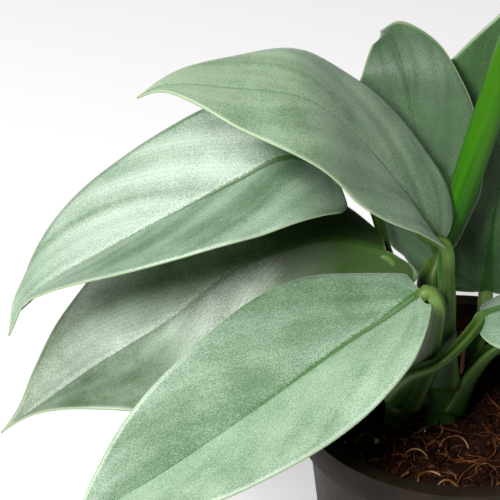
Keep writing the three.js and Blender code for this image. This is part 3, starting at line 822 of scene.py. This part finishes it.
def stem(name, radius, points):
    """A stem with two leaf scars and a rounded top."""
    bm = bmesh.new()

    def radius_at(share):
        scars = sum(SCAR_HEIGHT * math.exp(-((share - at) / 0.012) ** 2) for at in SCAR_PLACES)
        rounded = math.sqrt(max(0.02, 1 - max(0, (share - 0.93) / 0.07) ** 2))
        return radius * 0.96 * (1 + scars) * rounded * MM

    def ribs(share, angle):
        return 1 + 0.02 * math.sin(5 * angle + 3 * share)

    path = Path([Vector(p) * MM for p in points])
    tube(bm, path, radius_at, (0, 1, 0), around=32, steps=90, shape=ribs)
    finish_piece(name + "_skin", bm, [STEM_FINISH], name)


stem("stem_main", 6.2, [(-8, -8, 66), (-7, -8, 92), (-7, -8, 117)])
stem("stem_front", 4.6, [(-20, -12, 68), (-20, -12, 92), (-20, -13, 108)])

# %% [markdown]
# ## Dry sheaths
# A leaf is wrapped in a sheath before it opens. The sheath dries, turns red-brown and papery, and a
# scrap of it stays on the stem.

# %% Sheath finish and shape
# Papery fibres, about half a millimetre wide and six long.
PAPER_FIBRES_PER_METRE = (1800.0, 1800.0, 160.0)

sheath_finish, tree = new_material("dry_sheath_papery")
place = add(tree, "TexCoord")
stretched = add(tree, "VectorMath", {0: place, 1: PAPER_FIBRES_PER_METRE}, operation="MULTIPLY")
fibre = add(tree, "TexNoise", {"Vector": stretched, "Scale": 1.0, "Detail": 3.0})
surface(tree, blend(tree, fibre, 0.35, 0.65, "#4a2014", "#96573a"), 0.75, fibre, 0.6, 0.2)

SHEATH_TOP = [(-1, 0.5), (-0.3, 0.7), (0.2, 0.95), (1, 0.45)]
STEM_AXIS = Vector((-7, -8, 0))
SHEATH_RADIUS = 6.7
SHEATH_WALL = 0.3


def sheath(name, height, foot, start, end):
    """A curved scrap round the main stem, from one bearing in degrees to another, with a ragged and
    slightly curling top."""
    bm = bmesh.new()
    bmesh.ops.create_grid(bm, x_segments=14, y_segments=16, size=1)
    rng = random.Random(name)
    ripples = [rng.uniform(0, 6.3) for _ in range(2)]
    for v in bm.verts:
        turn = math.radians(start + (end - start) * (v.co.x + 1) / 2)
        up = (v.co.y + 1) / 2
        top = np.interp(v.co.x, [p[0] for p in SHEATH_TOP], [p[1] for p in SHEATH_TOP])
        frayed = 1 + 0.05 * math.sin(17 * v.co.x + ripples[0])
        out = SHEATH_RADIUS + 0.12 * math.sin(4 * v.co.x + ripples[1]) * up
        around = Vector((math.cos(turn), math.sin(turn), 0)) * out
        v.co = (STEM_AXIS + around + Vector((0, 0, foot + height * top * frayed * up))) * MM
    thicken(finish_piece(name + "_paper", bm, [sheath_finish], name), SHEATH_WALL)


sheath("sheath_front", 12, 106, 279, 316)
sheath("sheath_right", 17, 110.5, -38, 12)

# %% [markdown]
# ## Pot
# A nursery pot is injection moulded in dark polypropylene: thin walls, a flat lip and a skirt that
# hangs from the lip's outer edge and stiffens it. It has a fine satin grain, and an uneven film of
# dust makes its black brownish. Its section is spun round the axis.

# %% Pot finish
pot_finish, tree = new_material("moulded_polypropylene_dark")
place = add(tree, "TexCoord")
grain = add(tree, "TexNoise", {"Vector": place, "Scale": 1 / (0.5 * MM), "Detail": 3.0})
cloud = add(tree, "TexNoise", {"Vector": place, "Scale": 1 / (14 * MM), "Detail": 4.0})
colour = blend(tree, cloud, 0.35, 0.7, "#1a150f", "#2b231a")
gloss = add(tree, "MapRange", {"Value": grain, "From Min": 0.3, "From Max": 0.7, "To Min": 0.45,
            "To Max": 0.62})
surface(tree, colour, gloss, grain, 0.3, 0.12, {"Specular IOR Level": 0.1})

# %% Pot shape
POT_HEIGHT = 95
POT_LIP_RADIUS = 53
POT_LIP_WIDTH = 5
POT_LIP_THICKNESS = 1.6
POT_BASE_RADIUS = 39
POT_WALL = 1.5
POT_FLOOR = 2.5
POT_SKIRT_HEIGHT = 9
POT_EDGE = 0.4
NOTCH = {"count": 4, "width": 12, "height": 1.6, "first": -95}
DRAIN = {"count": 4, "radius": 4, "ring": 25, "first": 45}


def wall_radius(height):
    """Outer radius of the pot's wall at a height."""
    top = POT_LIP_RADIUS - POT_LIP_WIDTH + POT_WALL
    return POT_BASE_RADIUS + (top - POT_BASE_RADIUS) * height / POT_HEIGHT


def spun(section, steps):
    """A section of radii and heights in millimetres, spun round the upright axis."""
    bm = bmesh.new()
    corners = [bm.verts.new((r * MM, 0, z * MM)) for r, z in section]
    edges = [bm.edges.new(pair) for pair in zip(corners, corners[1:])]
    bmesh.ops.spin(bm, geom=corners + edges, cent=(0, 0, 0), axis=(0, 0, 1), angle=2 * math.pi,
                   steps=steps, use_merge=True)
    bmesh.ops.remove_doubles(bm, verts=bm.verts, dist=0.01 * MM)
    bmesh.ops.recalc_face_normals(bm, faces=bm.faces)
    return bm


def baked(thing):
    """A new mesh of an object, with what its modifiers or its bevel add."""
    bpy.context.view_layer.update()
    return bpy.data.meshes.new_from_object(thing.evaluated_get(bpy.context.evaluated_depsgraph_get()))


lip_under = POT_HEIGHT - POT_LIP_THICKNESS
skirt_foot = POT_HEIGHT - POT_SKIRT_HEIGHT
skirt_inner = POT_LIP_RADIUS - POT_WALL
lip_inner = POT_LIP_RADIUS - POT_LIP_WIDTH
section = [
    (0, 0), (POT_BASE_RADIUS, 0), (wall_radius(lip_under), lip_under), (skirt_inner, lip_under),
    (skirt_inner, skirt_foot), (POT_LIP_RADIUS, skirt_foot), (POT_LIP_RADIUS, POT_HEIGHT),
    (lip_inner, POT_HEIGHT), (wall_radius(POT_FLOOR) - POT_WALL, POT_FLOOR), (0, POT_FLOOR),
]
bm = spun(section, 160)
half_pitch = math.pi / NOTCH["count"]
for v in bm.verts:
    at_foot = abs(v.co.z - skirt_foot * MM) < 0.05 * MM
    on_skirt = math.hypot(v.co.x, v.co.y) > (skirt_inner - 0.1) * MM
    turn = math.atan2(v.co.y, v.co.x) - math.radians(NOTCH["first"])
    off = (turn + half_pitch) % (2 * half_pitch) - half_pitch
    if at_foot and on_skirt and abs(off) * POT_LIP_RADIUS < NOTCH["width"] / 2:
        v.co.z += NOTCH["height"] * MM
pot = finish_piece("pot_shell", bm, [pot_finish], "pot")
for hole in range(DRAIN["count"]):
    turn = math.radians(DRAIN["first"] + 360 * hole / DRAIN["count"])
    bm = bmesh.new()
    bmesh.ops.create_cone(bm, cap_ends=True, segments=32, radius1=DRAIN["radius"] * MM,
                          radius2=DRAIN["radius"] * MM, depth=4 * POT_FLOOR * MM)
    to_hole = Vector((math.cos(turn), math.sin(turn), 0)) * DRAIN["ring"] * MM
    bmesh.ops.translate(bm, verts=bm.verts, vec=to_hole)
    cutter = in_scene("cutter", mesh_of(bm, "cutter"))
    cut = pot.modifiers.new("drain", "BOOLEAN")
    cut.object = cutter
    cut.solver = "EXACT"
    holed = baked(pot)
    pot.modifiers.clear()
    pot.data = holed
    bpy.data.objects.remove(cutter)
round_edges = pot.modifiers.new("rounded_edges", "BEVEL")
round_edges.width = POT_EDGE * MM
round_edges.segments = 3
round_edges.limit_method = "ANGLE"
round_edges.angle_limit = math.radians(35)
print("pot:", len(pot.data.polygons), "faces")

# %% [markdown]
# ## Soil
# The mix is coir and peat: dark, damp crumbs with reddish and tan fibres that lie every way, a few
# white grains of perlite and pale roots that loop out of the surface. The surface is a spun disc
# that is roughened with noise. Crumbs, fibres, roots and grains lie on it as separate pieces.

# %% Soil finish
def soil_finish(name, dark, light, grain_mm, rough):
    """Damp plant matter, with a shade of its own for each crumb or strand."""
    material, tree = new_material(name)
    place = add(tree, "TexCoord")
    own = add(tree, "Attribute", attribute_name="shade")
    grit = add(tree, "TexNoise", {"Vector": place, "Scale": 1 / (grain_mm * MM), "Detail": 5.0,
               "Roughness": 0.7})
    both = add(tree, "Math", {0: own, 1: grit}, operation="ADD")
    colour = blend(tree, both, 0.45, 1.4, dark, light)
    surface(tree, colour, rough, grit, 0.8, 0.5, {"Specular IOR Level": 0.12})
    return material


mix_finish = soil_finish("potting_mix_damp", "#080301", "#2f160a", 1.2, 0.9)
fibre_finish = soil_finish("coir_fibre", "#2c0f05", "#8f5a30", 2.0, 0.7)
root_finish = soil_finish("root_pale", "#5d3a1c", "#a98459", 3.0, 0.5)
perlite_finish = soil_finish("perlite_grain", "#b5afa2", "#efece4", 0.6, 0.8)

# %% Soil surface
SOIL_DROP_AT_EDGE = 4.5
SOIL_DOME = 2.2
CLEARANCE = 0.3
SOIL_EDGE_HEIGHT = POT_HEIGHT - SOIL_DROP_AT_EDGE
SOIL_RADIUS = wall_radius(SOIL_EDGE_HEIGHT) - POT_WALL - CLEARANCE
SOIL_SKIN = 12
HUMP_MM = 13
LUMP_MM = 3.1
BARE_SHADE = 0.35


def soil_height(x, y):
    """Height of the soil's surface in millimetres, without its crumbs."""
    out = min(1.0, math.hypot(x, y) / SOIL_RADIUS)
    slow = noise.noise(Vector((x / HUMP_MM, y / HUMP_MM, 3.1))) * 1.5
    quick = noise.noise(Vector((x / LUMP_MM, y / LUMP_MM, 7.7))) * 0.9
    return SOIL_EDGE_HEIGHT + SOIL_DOME * (1 - out ** 2) + (slow + quick) * (1 - out ** 6)


profile = [(0, SOIL_EDGE_HEIGHT - SOIL_SKIN), (SOIL_RADIUS - 0.4, SOIL_EDGE_HEIGHT - SOIL_SKIN)]
profile += [(SOIL_RADIUS * k / 40, SOIL_EDGE_HEIGHT) for k in range(40, -1, -1)]
bm = spun(profile, 128)
own_shade = bm.verts.layers.float.new("shade")
for v in bm.verts:
    if v.co.z > (SOIL_EDGE_HEIGHT - 1) * MM:
        v.co.z = soil_height(v.co.x / MM, v.co.y / MM) * MM
    v[own_shade] = BARE_SHADE
finish_piece("soil_surface", bm, [mix_finish], "soil")

# %% Crumbs and perlite
STEM_CLEARINGS = [(-7, -8, 8), (-20, -12, 6.5)]


def scattered(rng, reach):
    """A random place on the soil, in millimetres, clear of the stems."""
    while True:
        x, y = rng.uniform(-reach, reach), rng.uniform(-reach, reach)
        clear = all(math.hypot(x - sx, y - sy) > r for sx, sy, r in STEM_CLEARINGS)
        if math.hypot(x, y) < reach and clear:
            return x, y


def grains(name, seed, count, smallest, largest, finish, flat, places=()):
    """Many small lumps in one piece, each half sunk in the soil and with its own shade."""
    rng = random.Random(seed)
    bm = bmesh.new()
    own = bm.verts.layers.float.new("shade")
    fixed = list(places)
    for _ in range(count):
        size = smallest + (largest - smallest) * rng.random() ** 2.5
        x, y = scattered(rng, SOIL_RADIUS - 3)
        if fixed:
            x, y, size = fixed.pop()
        stretch = [rng.uniform(0.6, 1.25), rng.uniform(0.6, 1.25), rng.uniform(flat, 1.0)]
        turn = Matrix.Rotation(rng.uniform(0, 6.28), 4, "Z")
        turn = turn @ Matrix.Rotation(rng.uniform(-0.7, 0.7), 4, "X")
        lift = soil_height(x, y) + size * rng.uniform(0.0, 0.3)
        place = Matrix.Translation(Vector((x, y, lift)) * MM) @ turn
        place = place @ Matrix.Diagonal([s * size * MM / 2 for s in stretch] + [1])
        lump = bmesh.ops.create_icosphere(bm, subdivisions=1, radius=1, matrix=place)["verts"]
        shade = rng.random() ** 1.5
        for v in lump:
            v.co += Vector([rng.uniform(-0.09, 0.09) * size * MM for _ in range(3)])
            v[own] = shade
    finish_piece(name, bm, [finish], None, smooth_shade=False)


grains("soil_crumbs", 11, 1900, 0.6, 3.0, mix_finish, 0.5)
grains("soil_perlite", 12, 16, 0.9, 1.8, perlite_finish, 0.8, places=[(-27.3, -21.8, 2.6)])

# %% [markdown]
# A fibre is a thin bent line. Curves with a round bevel make hundreds of them cheaply: each one
# starts in the soil, arches a little over its surface and dips in again.

# %% Fibres and roots
BENDS = 8


def strands(name, seed, count, length, thickness, arch, finish, curl, places=()):
    """Thin curved strands in one piece. length, thickness and arch are ranges in millimetres, and
    curl is the most that a strand turns at each of its bends, in radians."""
    rng = random.Random(seed)
    curve = bpy.data.curves.new(name, "CURVE")
    curve.dimensions = "3D"
    curve.bevel_depth = 1.0
    curve.bevel_resolution = 1
    curve.resolution_u = 3
    fixed = list(places)
    for _ in range(count):
        x, y = scattered(rng, SOIL_RADIUS - 4)
        heading = rng.uniform(0, 2 * math.pi)
        span = rng.uniform(*length)
        if fixed:
            x, y, heading, span = fixed.pop()
        spline = curve.splines.new("NURBS")
        turn = rng.uniform(-curl, curl)
        spline.points.add(BENDS - 1)
        rise = rng.uniform(*arch)
        radius = rng.uniform(*thickness) / 2
        x -= math.cos(heading) * span / 2
        y -= math.sin(heading) * span / 2
        for i in range(BENDS):
            share = i / (BENDS - 1)
            lift = rise * 4 * share * (1 - share) - 0.4 + rng.uniform(-0.3, 0.3)
            inside = min(1.0, (SOIL_RADIUS - 1.0) / max(1e-6, math.hypot(x, y)))
            px, py = x * inside, y * inside
            spline.points[i].co = (px * MM, py * MM, (soil_height(px, py) + lift + radius) * MM, 1)
            spline.points[i].radius = radius * MM * (0.75 + 0.5 * rng.random())
            heading += turn + rng.uniform(-0.35, 0.35)
            x += math.cos(heading) * span / (BENDS - 1)
            y += math.sin(heading) * span / (BENDS - 1)
        spline.use_endpoint_u = True
        spline.order_u = 4
    line = in_scene(name + "_line", curve)
    bm = bmesh.new()
    bm.from_mesh(baked(line))
    bpy.data.objects.remove(line)
    own = bm.verts.layers.float.new("shade")
    for v in bm.verts:
        v[own] = 0.2 + 0.9 * noise.noise(v.co / (5 * MM) + Vector((seed, 0, 0)))
    bmesh.ops.recalc_face_normals(bm, faces=bm.faces)
    finish_piece(name, bm, [finish], None)


strands("soil_fibres_fine", 21, 900, (3, 12), (0.1, 0.24), (0.2, 1.8), fibre_finish, 0.6)
strands("soil_fibres_coarse", 22, 70, (12, 32), (0.24, 0.45), (0.4, 3.2), fibre_finish, 0.7)
ROOT_PLACES = [
    (-31.3, -27.4, -0.5, 9), (-18.8, -40.3, -0.1, 6), (-9.2, -39.0, 1.4, 9), (4, -20, 1.2, 16),
    (6, -28, 2.0, 14), (-14, -22, 0.6, 12), (-3, -18, -0.8, 13), (-22, -20, 0.2, 9),
    (-26, -18, 1.2, 9), (-17, -21, -0.9, 10), (-9, -19, -1.4, 10), (-21, -24, 1.8, 12),
]
strands("soil_roots", 23, 22, (8, 22), (0.4, 0.75), (0.6, 2.4), root_finish, 0.6, ROOT_PLACES)
